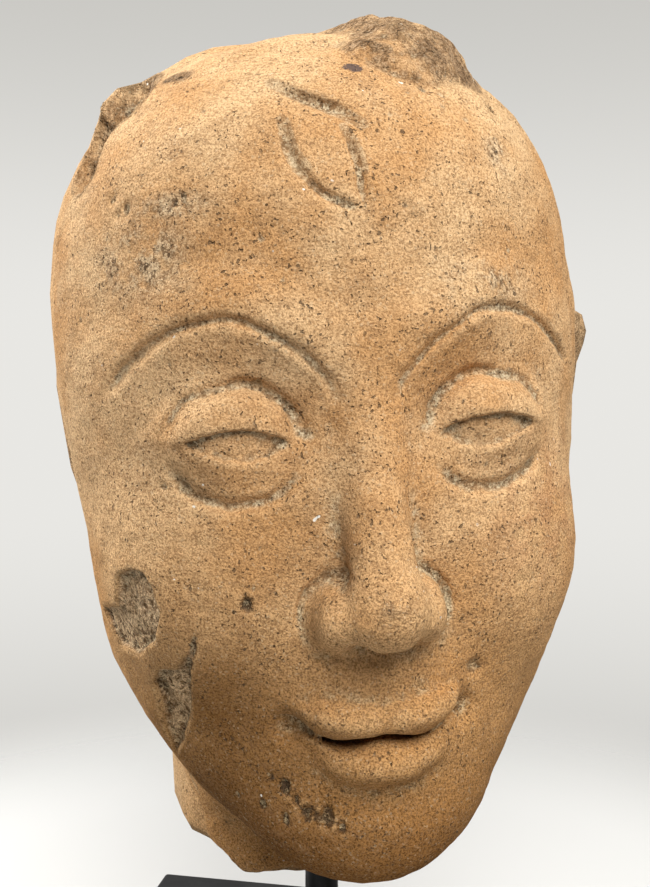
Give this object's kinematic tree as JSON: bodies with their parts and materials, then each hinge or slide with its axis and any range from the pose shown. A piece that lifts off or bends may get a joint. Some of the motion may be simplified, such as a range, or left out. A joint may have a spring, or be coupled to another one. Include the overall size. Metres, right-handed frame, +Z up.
{
  "type": "terracotta head",
  "caption": "Broken terracotta head of a calm figure with a third eye, held up by a black rod in a black block.",
  "frame": {"origin": "centre of the block's underside", "axes": "+Z up along the rod, X and Y along the block's edges, the head facing -Y and turned 21 degrees towards +X"},
  "size_m": [0.1256, 0.1325, 0.2477],
  "materials": {
    "terracotta": "unglazed, worn, with pale deposits in the grooves",
    "black_rod": "satin black",
    "black_block": "matt black paint"
  },
  "bodies": {
    "root": {"terracotta_head": "terracotta", "stand_rod": "black_rod", "stand_base": "black_block"}
  },
  "joints": []
}
